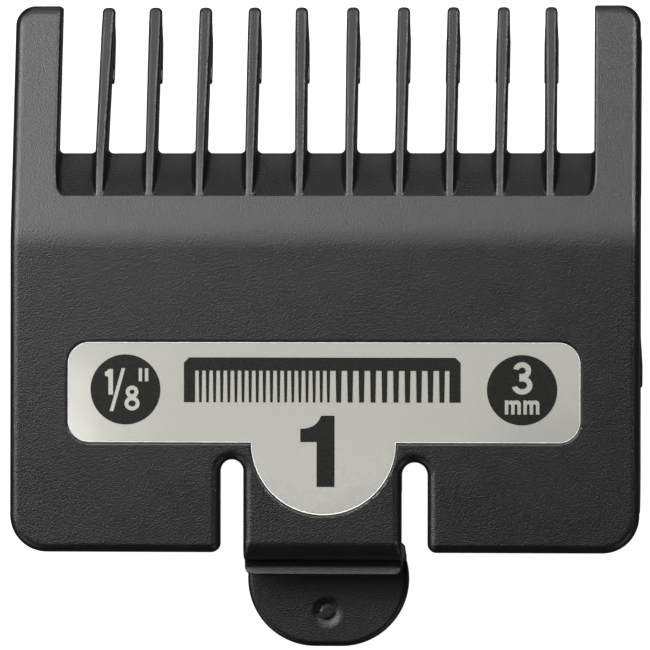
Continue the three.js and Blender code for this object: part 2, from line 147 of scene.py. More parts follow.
VIEW_X, VIEW_Y, VIEW_WIDTH, VIEW_ROLL = 0.115, 0.12, 49.24, 0.0015
VIEW_PLACE = (0.025, 0.0, 0.45)


# ---- distance fields ------------------------------------------------------------------------------


def meet(a, b, r):
    """Intersection of two fields, with an edge of radius r."""
    return np.minimum(-r, np.maximum(a, b)) + np.hypot(np.maximum(a + r, 0), np.maximum(b + r, 0))


def join(a, b, r):
    """Union of two fields, with a fillet of radius r."""
    return np.maximum(r, np.minimum(a, b)) - np.hypot(np.maximum(r - a, 0), np.maximum(r - b, 0))


def ease(a, b, k):
    """Intersection of two fields that meet at a shallow angle, eased over a band k wide."""
    h = np.maximum(k - np.abs(a - b), 0) / k
    return np.maximum(a, b) + h * h * k / 4


def rounded_corner(u, v, r):
    """Distance to a quadrant u < 0, v < 0 whose corner is an arc of radius r."""
    return np.hypot(np.maximum(u + r, 0), np.maximum(v + r, 0)) + np.minimum(np.maximum(u, v) + r, 0) - r


def ridge_z(y):
    return FACE_Z - NOSE_SLOPE * (y - BEND_Y)


def blade_z(y):
    return ridge_z(y) - FIN_DEPTH


def tooth_top_z(y):
    """Ridge of a tooth, which soon falls more steeply than the slope between the teeth."""
    beyond = y - RIDGE_Y
    eased = (beyond + np.hypot(beyond, RIDGE_EASE)) / 2
    return ridge_z(y) - RIDGE_FALL * eased / (TIP_Y - RIDGE_Y)


def half_width(z):
    return OUTER_X - SIDE_DRAFT * z / FACE_Z


def skin(y, z):
    """Skin-side surface: flat face, rounded bend and slope."""
    bend_band = BEND_HALF * NOSE_SLOPE * SLOPE_COS
    return ease(z - FACE_Z, (z - ridge_z(y)) * SLOPE_COS, bend_band)


def slots(x, y):
    """The two slots beside the tongue, which sits a touch to the left of the middle."""
    inner = TONGUE_HALF + np.where(x < 0, -TONGUE_SHIFT, TONGUE_SHIFT)
    middle, r = (SLOT_OUTER_X + inner) / 2, (SLOT_OUTER_X - inner) / 2
    root = SLOT_ROOT_Y - np.sign(x) * 0.1
    return np.hypot(np.abs(x) - middle, np.maximum(y - root + r, 0)) - r


def outer_plan(x, y, z):
    """Body outline seen from above, less the slots beside the tongue."""
    side = np.abs(x) - half_width(z)
    rear = rounded_corner(side, REAR_Y - y, CORNER_R)
    tip = rounded_corner(side, y - TIP_Y, END_OUTER_R)
    return np.maximum(meet(rear, -slots(x, y), MOUTH_R), tip)


def plate(x, y, z):
    """Plate under the skin: step face in front, thicker where it meets the teeth."""
    step_drop = ridge_z(CREST_Y) - blade_z(FLOOR_Y) - FLOOR_EDGE
    step_angle = math.atan2(step_drop, FLOOR_Y - CREST_Y)
    step = (y - CREST_Y) * math.sin(step_angle) + (z - ridge_z(CREST_Y)) * math.cos(step_angle)
    thicken = (y - UNDERCUT_Y) / (UNDERCUT_END_Y - UNDERCUT_Y)
    ramp = UNDER_Z - thicken * (UNDER_Z - blade_z(UNDERCUT_END_Y))
    under = np.minimum(UNDER_Z, np.maximum(ramp, blade_z(y))) - z
    front = meet(step, y - FLOOR_Y, 0.08)
    return meet(front, under * 0.95, 0.1)


def end_tooth(x, y, z):
    """Broad end teeth. Their inner faces curve in towards the crest."""
    curve_y, curve_x, curve_len = 12.2, 0.45, 2.4
    share = np.clip((curve_y - y) / curve_len, 0, 1)
    inner = END_INNER_X - curve_x * (1 - np.sqrt(1 - share * share))
    wall = inner - np.abs(x)
    under = (blade_z(y) - z) * SLOPE_COS
    return meet(meet(wall, skin(y, z), 0.25), under, 0.15)


def cheek(x, y, z):
    """Side walls under the plate, swept up at both ends, each with a shallow grip bump outside."""
    reach = cheek_high.y - CHEEK_SWEEP_Y
    lead = reach - CHEEK_SWEEP_LEAD
    share = np.clip((y - CHEEK_SWEEP_Y) / reach, 0, 1.1)
    bow = 2 * lead / reach - 1
    along = 2 * share / (1 + bow + np.sqrt(np.maximum((1 + bow) ** 2 - 4 * bow * share, 0)))
    rim = (blade_z(cheek_high.y) * along**2 - z) * 0.9
    side = rounded_corner(rim, cheek_low.y - y, CHEEK_END_R)
    inner = OUTER_X - CHEEK_T - np.abs(x)
    above = z - np.minimum(UNDER_Z + 0.5, blade_z(y) + 0.8)
    wall = meet(meet(np.maximum(side, above), inner, 0.25), np.abs(x) - half_width(z), 0.3)
    ramp = (GRIP_FRONT_Y - y) / (GRIP_FRONT_Y - GRIP_PEAK_Y)
    rise = GRIP_OUT * np.clip(np.minimum(ramp, (y - GRIP_REAR_Y) / GRIP_OUT), 0, 1)
    rise = rise * np.clip(np.minimum(z - GRIP_LOW_Z, GRIP_HIGH_Z - z) / 0.3, 0, 1)
    bump = np.maximum(np.abs(x) - half_width(z) - rise, OUTER_X - CHEEK_T / 2 - np.abs(x))
    ends = np.maximum(y - GRIP_FRONT_Y, GRIP_REAR_Y - y)
    rims = np.maximum(z - GRIP_HIGH_Z, GRIP_LOW_Z - z)
    return np.minimum(wall, np.maximum(bump, np.maximum(ends, rims)))


def tooth(x, y, z):
    """Thin teeth. Each widens from ridge to base, and from crest to tip, where it ends in a round nose.
    Behind the nose, a hook reaches back under the blade's tip."""
    index = np.clip(np.rint((x - TOOTH_X[0]) / TOOTH_PITCH), 0, len(TEETH) - 1).astype(int)
    along = np.clip((y - FLOOR_Y) / (TIP_Y - FLOOR_Y), 0, 1)
    root = (TOOTH_X[0] + index * TOOTH_PITCH) * TOOTH_SPREAD + TOOTH_SHIFT
    off = np.abs(x - root - np.array(TOOTH_LEAN)[index] * along)
    top_z = tooth_top_z(y)
    share = np.clip((top_z - z) / (top_z - blade_z(y)), 0, 1)
    reach = np.clip((y - CREST_Y) / (TIP_Y - 2 - CREST_Y), 0, 1)
    top_w = TOOTH_CREST_W + (TOOTH_TIP_W - TOOTH_CREST_W) * reach
    width = top_w + (TOOTH_BASE_W - top_w) * share
    width = width + (HOOK_W - TOOTH_BASE_W) * np.clip((blade_z(y) - z) / 0.5, 0, 1)
    beyond = np.maximum(y - (TIP_Y - width / 2), 0)
    flank = np.hypot(off, beyond) - width / 2

    hook_depth = FIN_DEPTH + HOOK_GAP + HOOK_T
    tip_low = tooth_top_z(TIP_Y) - NOSE_T
    taper = (tip_low - ridge_z(POCKET_Y) + hook_depth) / (TIP_Y - POCKET_Y)
    wedge = (tip_low - taper * (TIP_Y - y) - z) / math.hypot(1, taper)
    low = ease((ridge_z(y) - hook_depth - z) * SLOPE_COS, wedge, 0.5)
    jaw = meet(np.maximum(low, (z - blade_z(y) + HOOK_GAP) * SLOPE_COS), HOOK_BACK_Y - y, 0.5)
    nose = np.maximum(low, POCKET_Y - y)
    side = join((blade_z(y) - z) * SLOPE_COS, np.minimum(jaw, nose), 0.12)
    crown_half = CROWN_HALF + (CROWN_TIP_HALF - CROWN_HALF) * reach
    crown = top_z - CROWN_SLOPE * np.maximum(off - crown_half, 0)
    tip = rounded_corner((z - crown) * SLOPE_COS, y - TIP_Y, NOSE_T / 2)
    tip = np.maximum(tip, rounded_corner(wedge, y - TIP_Y, NOSE_T / 2))
    return meet(np.maximum(side, tip), flank, TOOTH_EDGE_R)


def rail(x, y, z):
    """Two low rails that the blade lies on."""
    across = np.abs(np.abs(x) - (rail_low.x + rail_high.x) / 2) - (rail_high.x - rail_low.x) / 2
    along = np.abs(y - (rail_low.y + rail_high.y) / 2) - (rail_high.y - rail_low.y) / 2
    ends = (along + (rail_high.z - z)) * math.sqrt(0.5)
    return meet(meet(across, rail_low.z - z, 0.15), ends, 0.2)


def tab_plan(x, y):
    """Thumb tab outline: two arcs and a short straight, cut square in front."""
    centre_y = tab_low.y + TAB_R
    disc = np.hypot(np.maximum(np.abs(x) - TAB_FLAT_HALF, 0), y - centre_y) - TAB_R
    return meet(disc, y - tab_high.y, 0.4)


def latch(x, y, z):
    """Tongue, elbow and riser behind the blade's heel, nail lip and thumb tab."""
    outer = rounded_corner(z - FACE_Z, RISER_Y - y, ELBOW_Y - RISER_Y)
    hollow = rounded_corner(z - UNDER_Z, RISER_INNER_Y - y, 0.3)
    strip = np.maximum(np.maximum(outer, -hollow), tab_low.z + 0.5 - z)

    slope = LIP_RISE / (RISER_Y - lip_low.y)
    top = (z - (lip_high.z - LIP_RISE) + slope * (y - RISER_Y)) / math.hypot(1, slope)
    low = (lip_low.z - 0.5 * (y - RISER_Y) - z) / math.hypot(1, 0.5)
    lip = meet(meet(top, lip_low.y - y, 0.12), np.maximum(low, y - RISER_Y - 0.6), 0.2)
    across = np.abs(x - TONGUE_SHIFT) - TONGUE_HALF
    side = rounded_corner(across, lip_low.y - y, LIP_CORNER_R)
    side_edge = 0.15 + (EDGE_R - 0.15) * np.clip((y - RISER_Y) / (ELBOW_Y - RISER_Y), 0, 1)
    strip = meet(join(strip, lip, LIP_FILLET_R), side, side_edge)

    tab = meet(tab_plan(x, y), z - tab_high.z, 0.42)
    tab = meet(tab, tab_low.z - z, 0.3)
    from_dimple = np.hypot(x - DIMPLE_X, y - DIMPLE_Y)
    dish = tab_high.z - DIMPLE_SLOPE * (DIMPLE_R - from_dimple) - z
    pit = meet(dish / math.hypot(1, DIMPLE_SLOPE), tab_high.z - DIMPLE_DEPTH - z, 0.04)
    tab = meet(tab, -pit, 0.1)
    button = meet(from_dimple - BUTTON_R, z - tab_high.z + BUTTON_SUNK, 0.08)
    tab = join(tab, np.maximum(button, tab_low.z + 0.4 - z), 0.06)
    return join(strip, tab, 0.35)


def badge_plan(x, y, margin):
    """Badge outline: a rounded bar with a half-round lobe below its middle."""
    half = (badge_high.x - badge_low.x) / 2
    mid_y = (badge_high.y + BADGE_BAR_Y) / 2
    u = np.abs(x) - half
    v = np.abs(y - mid_y) - (badge_high.y - BADGE_BAR_Y) / 2
    bar = rounded_corner(u, v, BADGE_CORNER_R)
    lobe = np.hypot(x, y - BADGE_BAR_Y) - BADGE_LOBE_R
    return np.minimum(bar, lobe) - margin


def moulding(x, y, z):
    """The whole black moulding."""
    plan = outer_plan(x, y, z)
    envelope = meet(skin(y, z), plan, EDGE_R)
    root_fillet = ROOT_R + ROOT_R_GAIN * np.clip((y - CREST_Y) / ROOT_R_RUN, 0, 1)
    body = plate(x, y, z)
    body = join(body, end_tooth(x, y, z), 0.35)
    body = join(body, tooth(x, y, z), root_fillet)
    body = join(body, rail(x, y, z), 0.15)
    body = np.maximum(meet(body, plan, 0.2), envelope)
    wall = np.maximum(cheek(x, y, z), skin(y, z))
    body = np.where(np.abs(x) > END_INNER_X, np.maximum(join(body, wall, 0.3), skin(y, z)), body)
    body = np.where(z > UNDER_Z - 1.5, np.maximum(body, envelope), body)
    stub = np.where(np.abs(x) < SLOT_OUTER_X - SLOT_W / 2, STUB_END_Y - y, -9.0)
    tongue = np.maximum(latch(x, y, z), y - SLOT_ROOT_Y + 1.3)
    whole = np.minimum(np.maximum(body, stub), tongue)
    recess = meet(badge_plan(x, y, RECESS_CLEARANCE), film_low.z - z, 0.03)
    return meet(whole, -recess, 0.05)


# ---- meshing a field ------------------------------------------------------------------------------


def grid_lines(low, high, coarse, spots):
    """Grid lines from low to high, coarse apart, and finer inside each (from, to, step) spot."""
    lines, at = [low], low
    while at < high:
        step = min([coarse] + [s for a, b, s in spots if a <= at < b])
        ahead = [a - at for a, b, s in spots if at < a < at + step and s < step]
        at += max(min([step] + ahead), 0.02)
        lines.append(at)
    return np.array(lines)


def mirrored_spots(spots):
    return spots + [(-b, -a, s) for a, b, s in spots]


def field_slope(field, points, reach):
    """Direction that the field grows in, at each point."""
    slope = np.empty_like(points)
    for axis in range(3):
        shift = np.zeros(3)
        shift[axis] = reach
        slope[:, axis] = field(*(points + shift).T) - field(*(points - shift).T)
    return slope / np.maximum(np.linalg.norm(slope, axis=1, keepdims=True), 1e-9)


def crossings(field, ends, axis, near, far):
    """Where the surface crosses grid edges that run along one axis, by false position."""
    start, length = ends
    low, high = np.zeros(len(start)), np.ones(len(start))
    for _ in range(3):
        share = low + (high - low) * near / (near - far)
        place = start.copy()
        place[:, axis] += share * length
        value = field(*place.T)
        same = (value < 0) == (near < 0)
        low, near = np.where(same, share, low), np.where(same, value, near)
        high, far = np.where(same, high, share), np.where(same, far, value)
    return place


def contour(field, xs, ys, zs):
    """Dual contour of a field on a grid: (points, quads). Each cell's point is the one that best fits
    the surface where it crosses the cell's edges, so that creases stay crisp."""
    grid = np.stack([field(xs[:, None], ys[None, :], z) for z in zs], axis=2)
    inside = grid < 0
    shape = tuple(np.array(grid.shape) - 1)
    axes = (xs, ys, zs)
    rings, places, slopes, quads = [], [], [], []
    for axis in range(3):
        lower, upper = [slice(None)] * 3, [slice(None)] * 3
        lower[axis], upper[axis] = slice(None, -1), slice(1, None)
        lower, upper = tuple(lower), tuple(upper)
        at = np.argwhere(inside[lower] != inside[upper])
        near, far = grid[lower][tuple(at.T)], grid[upper][tuple(at.T)]
        start = np.stack([axes[k][at[:, k]] for k in range(3)], axis=1)
        line = axes[axis]
        place = crossings(field, (start, line[at[:, axis] + 1] - start[:, axis]), axis, near, far)
        b, c = (axis + 1) % 3, (axis + 2) % 3
        ring = []
        for step_b, step_c in ((-1, -1), (0, -1), (0, 0), (-1, 0)):
            cell = at.copy()
            cell[:, b] += step_b
            cell[:, c] += step_c
            ring.append(np.ravel_multi_index(tuple(cell.T), shape))
        ring = np.stack(ring, axis=1)
        rings.append(ring.ravel())
        places.append(np.repeat(place, 4, axis=0))
        slopes.append(np.repeat(field_slope(field, place, 0.004), 4, axis=0))
        quads.append(np.where((near < 0)[:, None], ring, ring[:, ::-1]))
    ids, index = np.unique(np.concatenate(rings), return_inverse=True)
    places, slopes = np.concatenate(places), np.concatenate(slopes)
    points = fitted_points(index, places, slopes)
    corner = np.stack(np.unravel_index(ids, shape), axis=1)
    low = np.stack([axes[k][corner[:, k]] for k in range(3)], axis=1)
    high = np.stack([axes[k][corner[:, k] + 1] for k in range(3)], axis=1)
    return np.clip(points, low, high), np.searchsorted(ids, np.concatenate(quads))


def fitted_points(index, places, slopes, hold=0.04):
    """For each cell, the point that lies closest to the planes through its crossings."""
    count = np.bincount(index)
    middle = np.stack([np.bincount(index, places[:, k]) / count for k in range(3)], axis=1)
    off = ((places - middle[index]) * slopes).sum(1)
    matrix = np.empty((len(count), 3, 3))
    right = np.empty((len(count), 3))
    for i in range(3):
        right[:, i] = np.bincount(index, slopes[:, i] * off)
        for j in range(3):
            matrix[:, i, j] = np.bincount(index, slopes[:, i] * slopes[:, j])
    matrix += np.eye(3) * (hold * count)[:, None, None]
    return middle + np.linalg.solve(matrix, right[:, :, None])[:, :, 0]


# ---- materials ------------------------------------------------------------------------------------


class Nodes:
    """A short way to write a material's node tree."""

    def __init__(self, name):
        self.material = bpy.data.materials.new(name)
        self.material.use_nodes = True
        self.tree = self.material.node_tree
        self.shader = self.tree.nodes["Principled BSDF"]

    def add(self, kind, links=None, **values):
        """A new node. Values are the node's own settings, or else its sockets' numbers."""
        node = self.tree.nodes.new("ShaderNode" + kind)
        for key, value in values.items():
            if hasattr(node, key):
                setattr(node, key, value)
            else:
                node.inputs[key.replace("_", " ")].default_value = value
        for key, source in (links or {}).items():
            self.tree.links.new(source, node.inputs[key])
        return node

    def set(self, **values):
        for key, value in values.items():
            self.shader.inputs[key.replace("_", " ")].default_value = value

    def link(self, source, socket):
        self.tree.links.new(source, self.shader.inputs[socket])

    def place(self):
        return self.add("TexCoord").outputs["Object"]

    def noise(self, where, scale, detail=2.0, roughness=0.5):
        """Noise from about 0.3 to 0.7, with its scale in cells per metre."""
        values = {"Scale": scale, "Detail": detail, "Roughness": roughness}
        return self.add("TexNoise", {"Vector": where}, **values).outputs["Fac"]

    def spread(self, source, low, high, from_low=0.3, from_high=0.7):
        """Maps a number onto low to high."""
        values = {"From_Min": from_low, "From_Max": from_high, "To_Min": low, "To_Max": high}
        return self.add("MapRange", {"Value": source}, **values).outputs["Result"]

    def axis(self, vector, name):
        """One of a vector's three numbers."""
        return self.add("SeparateXYZ", {"Vector": vector}).outputs[name]

    def sum(self, a, b):
        return self.add("Math", {0: a, 1: b}, operation="ADD").outputs[0]

    def product(self, a, b):
        return self.add("Math", {0: a, 1: b}, operation="MULTIPLY").outputs[0]

    def scaled(self, a, factor):
        """A number times a constant."""
        node = self.add("Math", {0: a}, operation="MULTIPLY")
        node.inputs[1].default_value = factor
        return node.outputs[0]

    def tint(self, share, dark, light):
        """A colour between two, by a number from 0 to 1."""
        mix = self.add("Mix", data_type="RGBA")
        colour_sockets = [i for i in mix.inputs if i.type == "RGBA"]
        colour_sockets[0].default_value = (*dark, 1)
        colour_sockets[1].default_value = (*light, 1)
        self.tree.links.new(share, mix.inputs["Factor"])
        return [o for o in mix.outputs if o.type == "RGBA"][0]

    def bump(self, height, strength, distance_mm, under=None):
        links = {"Height": height}
        if under is not None:
            links["Normal"] = under
        node = self.add("Bump", links, Strength=strength, Distance=distance_mm * MM)
        return node.outputs["Normal"]


GRAIN_SCALE, CLOUD_SCALE = 9500, 420
# How much rougher a scuffed ridge is than the rest.
WEAR_ROUGHNESS = 0.34
# Where the scuffing begins, in metres along Y, and the slopes of surface that it is found on.
WEAR_FROM_Y, WEAR_FULL_Y = 0.0115, 0.0140
WEAR_SLOPE_MIN, WEAR_SLOPE_FULL = 0.27, 0.31
WEAR_TILT_FULL, WEAR_TILT_MAX = 0.08, 0.25


def plastic():
    """Black moulded plastic with the fine grain of a spark-eroded mould."""
    nodes = Nodes("black_plastic")
    where = nodes.place()
    grain = nodes.noise(where, GRAIN_SCALE)
    cloud = nodes.noise(where, CLOUD_SCALE, 3.0, 0.55)
    nodes.set(IOR=1.5)
    tint = nodes.tint(nodes.spread(cloud, 0, 1), (0.002, 0.002, 0.0021), (0.003, 0.003, 0.0032))
    nodes.link(tint, "Base Color")
    rough = nodes.spread(cloud, 0.28, 0.32)
    nodes.link(nodes.sum(rough, nodes.scaled(ridge_wear(nodes, where), WEAR_ROUGHNESS)), "Roughness")
    coarse = nodes.bump(cloud, 0.1, 0.03)
    nodes.link(nodes.bump(grain, 1.0, 0.03, coarse), "Normal")
    return nodes.material


def ridge_wear(nodes, where):
    """From 0 to 1, how far a place lies on the scuffed flat top of a tooth, clear of its root."""
    past_root = nodes.spread(nodes.axis(where, "Y"), 0, 1, WEAR_FROM_Y, WEAR_FULL_Y)
    facing = nodes.add("TexCoord").outputs["Normal"]
    steep = nodes.spread(nodes.axis(facing, "Y"), 0, 1, WEAR_SLOPE_MIN, WEAR_SLOPE_FULL)
    tilt = nodes.add("Math", {0: nodes.axis(facing, "X")}, operation="ABSOLUTE").outputs[0]
    level = nodes.spread(tilt, 1, 0, WEAR_TILT_FULL, WEAR_TILT_MAX)
    return nodes.product(past_root, nodes.product(steep, level))


def badge_metal():
    """Satin silver foil, a little wavy, with a faint grain."""
    nodes = Nodes("badge_silver")
    where = nodes.place()
    fine = nodes.noise(where, 4200)
    wave = nodes.noise(where, 130, 1.0)
    nodes.set(Base_Color=(0.735, 0.725, 0.67, 1), Metallic=0.9)
    nodes.link(nodes.spread(fine, 0.11, 0.135), "Roughness")
    waviness = nodes.bump(wave, 1.0, 0.03)
    nodes.link(nodes.bump(fine, 0.04, 0.01, waviness), "Normal")
    return nodes.material


def badge_rim():
    """The foil's cut edge, bright and matt."""
    nodes = Nodes("badge_cut_edge")
    fine = nodes.noise(nodes.place(), 3000)
    nodes.set(Metallic=0.2)
    nodes.link(nodes.tint(nodes.spread(fine, 0, 1), (0.6, 0.6, 0.585), (0.72, 0.72, 0.7)), "Base Color")
    nodes.link(nodes.spread(fine, 0.45, 0.6), "Roughness")
    return nodes.material


def ink():
    """Black printing ink."""
    nodes = Nodes("black_ink")
    fine = nodes.noise(nodes.place(), 6000)
    tint = nodes.tint(nodes.spread(fine, 0, 1), (0.006, 0.006, 0.0055), (0.009, 0.009, 0.008))
    nodes.link(tint, "Base Color")
    nodes.set(IOR=1.36)
    nodes.link(nodes.spread(fine, 0.2, 0.3), "Roughness")
    return nodes.material


def film():
    """Adhesive film under the badge."""
    nodes = Nodes("adhesive_film")
    fine = nodes.noise(nodes.place(), 3000)
    nodes.link(nodes.tint(nodes.spread(fine, 0, 1), (0.62, 0.6, 0.55), (0.7, 0.68, 0.62)), "Base Color")
    nodes.link(nodes.spread(fine, 0.5, 0.65), "Roughness")
    return nodes.material


# ---- the moulding's pieces ------------------------------------------------------------------------

TOOTH_CUT_Y = FLOOR_Y + 0.65
LATCH_CUT_Y = SLOT_ROOT_Y - 2.0


def moulding_contour(coarse):
    """Points and quads of the whole moulding, in millimetres."""
    tooth_spots = [(x - 0.75, x + 0.75, 0.1) for x in TOOTH_X if x > 0]
    xs = grid_lines(-OUTER_X - 0.5, OUTER_X + 0.5, coarse, mirrored_spots(tooth_spots + [
        (0, SLOT_OUTER_X + 0.7, 0.14),
        (rail_low.x - 0.2, rail_high.x + 0.2, 0.15),
        (badge_high.x - 1.6, badge_high.x + 0.3, 0.12),
        (END_INNER_X - 0.6, END_INNER_X + 0.5, 0.1),
        (OUTER_X - CHEEK_T - 0.3, OUTER_X - CHEEK_T + 0.3, 0.12),
        (OUTER_X - 1.2, OUTER_X - 0.6, 0.12),
        (OUTER_X - 0.6, OUTER_X + 0.4, 0.08),
    ]))
    ys = grid_lines(tab_low.y - 0.3, TIP_Y + 0.3, coarse, [
        (tab_low.y - 0.1, DIMPLE_Y - 1.3, 0.16),
        (DIMPLE_Y - 1.3, DIMPLE_Y + 1.3, 0.1),
        (DIMPLE_Y + 1.3, lip_low.y - 0.2, 0.16),
        (lip_low.y - 0.2, RISER_Y + 0.3, 0.08),
        (RISER_Y + 0.3, REAR_Y - 0.1, 0.12),
        (REAR_Y - 0.1, REAR_Y + 0.6, 0.08),
        (REAR_Y + 0.6, SLOT_ROOT_Y + 0.1, 0.14),
        (BADGE_BAR_Y - 0.3, BADGE_BAR_Y + 1.5, 0.12),
        (badge_high.y - 1.6, badge_high.y + 0.3, 0.12),
        (BEND_Y - 1.2, BEND_Y + 1.2, 0.2),
        (CREST_Y - 0.4, CREST_Y + 0.4, 0.08),
        (CREST_Y + 0.4, FLOOR_Y - 0.5, 0.14),
        (FLOOR_Y - 0.5, FLOOR_Y + 0.5, 0.08),
        (HOOK_BACK_Y - 0.2, HOOK_BACK_Y + 0.6, 0.1),
        (TIP_Y - 1.5, TIP_Y + 0.1, 0.08),
    ])
    zs = grid_lines(-0.2, FACE_Z + 0.3, 0.12, [(film_low.z - 0.15, FACE_Z + 0.1, 0.075)])
    return contour(moulding, xs, ys, zs)


def cut_across(mesh, faces, y):
    """Cuts some of a mesh's faces along a line across Y, in place."""
    edges = {edge for face in faces for edge in face.edges}
    verts = {vert for face in faces for vert in face.verts}
    geom = [*verts, *edges, *faces]
    bmesh.ops.bisect_plane(mesh, geom=geom, plane_co=(0, y, 0), plane_no=(0, 1, 0), dist=1e-4)


def piece_of(x, y):
    """Name of the moulding's piece that a point belongs to."""
    if y < LATCH_CUT_Y and abs(x) < SLOT_OUTER_X - SLOT_W / 2:
        return "latch_moulding"
    if y < TOOTH_CUT_Y:
        return "comb_shell"
    if abs(x) > END_INNER_X - 1:
        return "right_end_fin" if x > 0 else "left_end_fin"
    index = round((x - TOOTH_X[0]) / TOOTH_PITCH)
    return f"fin_{index + 1:02d}"


def moulding_pieces(surface):
    """The moulding's pieces, by name, each closed where it was parted from its neighbour."""
    points, quads = moulding_contour(COARSE_STEP)
    base = bpy.data.meshes.new("moulding")
    base.from_pydata(points.tolist(), [], quads.tolist())
    whole = bmesh.new()
    whole.from_mesh(base)
    reach = 0.6
    near_teeth = [f for f in whole.faces if abs(f.calc_center_median().y - TOOTH_CUT_Y) < reach]
    cut_across(whole, near_teeth, TOOTH_CUT_Y)
    near_latch = [f for f in whole.faces if abs(f.calc_center_median().y - LATCH_CUT_Y) < reach]
    near_latch = [f for f in near_latch if abs(f.calc_center_median().x) < SLOT_OUTER_X - SLOT_W / 2]
    cut_across(whole, near_latch, LATCH_CUT_Y)
    whole.to_mesh(base)
    whole.free()
    return parted(base, surface)


def parted(base, surface):
    """Parts one mesh into its pieces, by the place of each face."""
    count = len(base.vertices)
    points = np.empty(count * 3)
    base.vertices.foreach_get("co", points)
    points = points.reshape(-1, 3)
    normals = field_slope(moulding, points, 0.02)
    groups = {}
    for face in base.polygons:
        groups.setdefault(piece_of(face.center.x, face.center.y), []).append(list(face.vertices))
    bpy.data.meshes.remove(base)
    pieces = {}
    for name, faces in groups.items():
        used = np.unique(np.concatenate(faces))
        place = np.full(count, -1)
        place[used] = np.arange(len(used))
        faces = [[int(place[v]) for v in face] for face in faces]
        pieces[name] = smooth_piece(name, points[used], faces, surface, normals[used])
    return pieces


def smooth_piece(name, points, faces, surface, normals):
    """A closed mesh with given normals, from points in millimetres. Open edges are filled flat."""
    mesh = bpy.data.meshes.new(name)
    mesh.from_pydata((points * MM).tolist(), [], faces)
    filled = bmesh.new()
    filled.from_mesh(mesh)
    rims = [edge for edge in filled.edges if edge.is_boundary]
    bmesh.ops.holes_fill(filled, edges=rims, sides=0)
    filled.to_mesh(mesh)
    filled.free()
    mesh.materials.append(surface)
    mesh.shade_smooth()
    mesh.normals_split_custom_set_from_vertices(normals.tolist())
    return placed(name, mesh)


def placed(name, data):
    thing = bpy.data.objects.new(name, data)
    bpy.context.scene.collection.objects.link(thing)
    return thing


def ride_moulding(pieces):
    """Stands each piece of the moulding in for its CAD nodes, and ties all but the latch's piece to the
    comb's body.
    """
    stand_ins = {
        "comb_shell": ["face_plate", "left_cheek", "right_cheek", "left_blade_rail", "right_blade_rail"],
        "latch_moulding": ["latch_tongue", "latch_riser", "nail_lip", "thumb_tab"],
        "left_end_fin": ["left_end_tooth"],
        "right_end_fin": ["right_end_tooth"],
    }
    for index, node in enumerate(TEETH):
        stand_ins[f"fin_{index + 1:02d}"] = [node]
    for name, nodes in stand_ins.items():
        piece = pieces[name]
        if name == "latch_moulding":
            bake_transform(piece)
        else:
            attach(piece, BODY)
        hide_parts(*nodes)


# ---- badge ----------------------------------------------------------------------------------------


def ellipse(x, y, rx, ry, start=0, end=360, steps=40):
    """Points along an ellipse's arc, with its angles in degrees."""
    angles = [math.radians(start + (end - start) * i / steps) for i in range(steps + 1)]
    return [(x + rx * math.cos(a), y + ry * math.sin(a)) for a in angles]


def arc(x, y, r, start, end, steps):
    return ellipse(x, y, r, r, start, end, steps)


def badge_outline(margin):
    """Points round the badge, in order."""
    half = badge_high.x + margin
    top, bottom = badge_high.y + margin, BADGE_BAR_Y - margin
    r = BADGE_CORNER_R + margin
    return [
        *arc(-half + r, top - r, r, 90, 180, 24),
        *arc(-half + r, bottom + r, r, 180, 270, 24),
        *arc(0, bottom, BADGE_LOBE_R + margin, 180, 360, 90),
        *arc(half - r, bottom + r, r, 270, 360, 24),
        *arc(half - r, top - r, r, 0, 90, 24),
    ]


def flat_curve(name, outlines):
    """A filled flat curve. An outline inside another is a hole."""
    data = bpy.data.curves.new(name, "CURVE")
    data.dimensions, data.fill_mode = "2D", "BOTH"
    for outline in outlines:
        spline = data.splines.new("POLY")
        spline.points.add(len(outline) - 1)
        for point, (x, y) in zip(spline.points, outline):
            point.co = (x * MM, y * MM, 0, 1)
        spline.use_cyclic_u = True
    return data


def flat_piece(name, data, low, high, surface, edge=0.0):
    """A mesh raised from a filled flat curve, from one height to another, with its edges rounded."""
    data.extrude = (high - low) / 2 * MM - edge * MM
    data.bevel_depth, data.bevel_resolution = edge * MM, 2
    data.offset = -edge * MM
    carrier = bpy.data.objects.new(name, data)
    mesh = bpy.data.meshes.new_from_object(carrier)
    bpy.data.objects.remove(carrier)
    raised = bmesh.new()
    raised.from_mesh(mesh)
    bmesh.ops.remove_doubles(raised, verts=raised.verts, dist=0.001 * MM)
    bmesh.ops.translate(raised, verts=raised.verts, vec=(0, 0, (low + high) / 2 * MM))
    raised.to_mesh(mesh)
    raised.free()
    mesh.name = name
    mesh.materials.clear()
    mesh.materials.append(surface)
    return placed(name, mesh)


def moved(outline, x, y):
    return [(px + x, py + y) for px, py in outline]


def box_outline(low_x, low_y, high_x, high_y):
    return [(low_x, low_y), (high_x, low_y), (high_x, high_y), (low_x, high_y)]


def small_one(height):
    """A small 1, centred."""
    top, stem, flag = height / 2, 0.36, 0.27
    left = flag / 2 - stem / 2
    stem_side = [(left + stem, top), (left + stem, -top), (left, -top), (left, top - 0.62)]
    return [*stem_side, (left - flag, top - 0.5), (left - flag, top - 0.24), (left + 0.05, top)]


def small_eight(stroke=0.31):
    """A small 8, centred: its outline and its two holes."""
    lobes = [(0.46, 0.49, 0.48), (-0.42, 0.58, 0.54)]
    waist = 0.05
    outline = []
    for i in range(72):
        angle = math.radians(5 * i)
        dx, dy = math.cos(angle), math.sin(angle)
        reaches = []
        for y, rx, ry in lobes:
            a = (dx / rx) ** 2 + (dy / ry) ** 2
            b = (waist - y) * dy / ry**2
            c = ((waist - y) / ry) ** 2 - 1
            reaches.append((-b + math.sqrt(b * b - a * c)) / a)
        outline.append((dx * max(reaches), waist + dy * max(reaches)))
    holes = [ellipse(0, y, rx - stroke, ry - stroke)[:-1] for y, rx, ry in lobes]
    return [outline, *holes]


